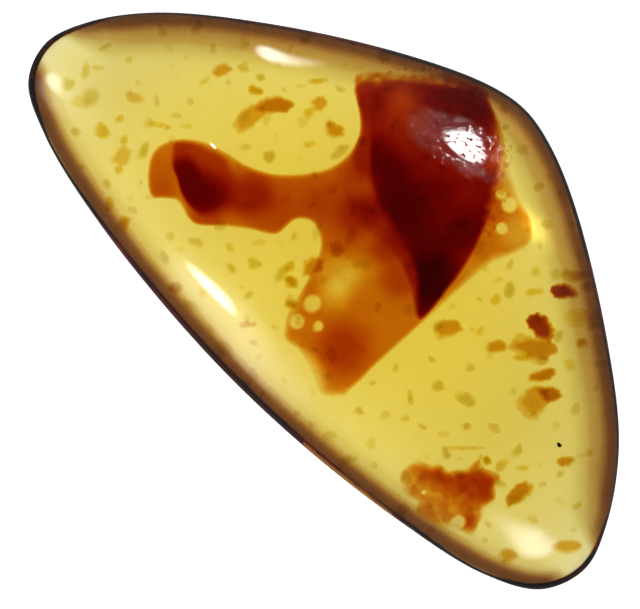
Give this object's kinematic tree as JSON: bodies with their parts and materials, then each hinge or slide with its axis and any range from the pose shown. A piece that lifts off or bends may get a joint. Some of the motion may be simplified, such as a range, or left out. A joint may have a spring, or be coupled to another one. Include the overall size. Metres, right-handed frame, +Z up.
{
  "type": "polished amber",
  "caption": "Polished piece of clear yellow amber, a flat rounded three-sided pebble with dark resin and flakes sealed in it, lying on its ground back.",
  "frame": {"origin": "on the ground, under the middle of the stone's box", "axes": "+X along the stone's longest side, +Z up through its domed front"},
  "size_m": [0.042, 0.0222, 0.0076],
  "materials": {
    "amber": "clear yellow resin, polished to a gloss",
    "dark_resin": "dense red-brown resin, grainy",
    "orange_resin": "clear orange resin, darker where it is thick",
    "crumbs": "orange grains",
    "flakes": "thin orange flakes"
  },
  "bodies": {
    "root": {"amber_front": "amber", "amber_back": "amber", "dark_mass": "dark_resin", "resin_flow": "orange_resin", "crumb_patch": "crumbs", "flake_01": "flakes", "flake_02": "flakes", "flake_03": "flakes", "flake_04": "flakes", "flake_05": "flakes", "flake_06": "flakes", "flake_07": "flakes", "flake_08": "flakes", "flake_09": "flakes", "flake_10": "flakes", "flake_11": "flakes", "flake_12": "flakes", "flake_13": "flakes", "flake_14": "flakes", "flake_15": "flakes", "flake_16": "flakes", "flake_17": "flakes", "flake_18": "flakes", "flake_19": "flakes", "flake_20": "flakes"}
  },
  "joints": []
}
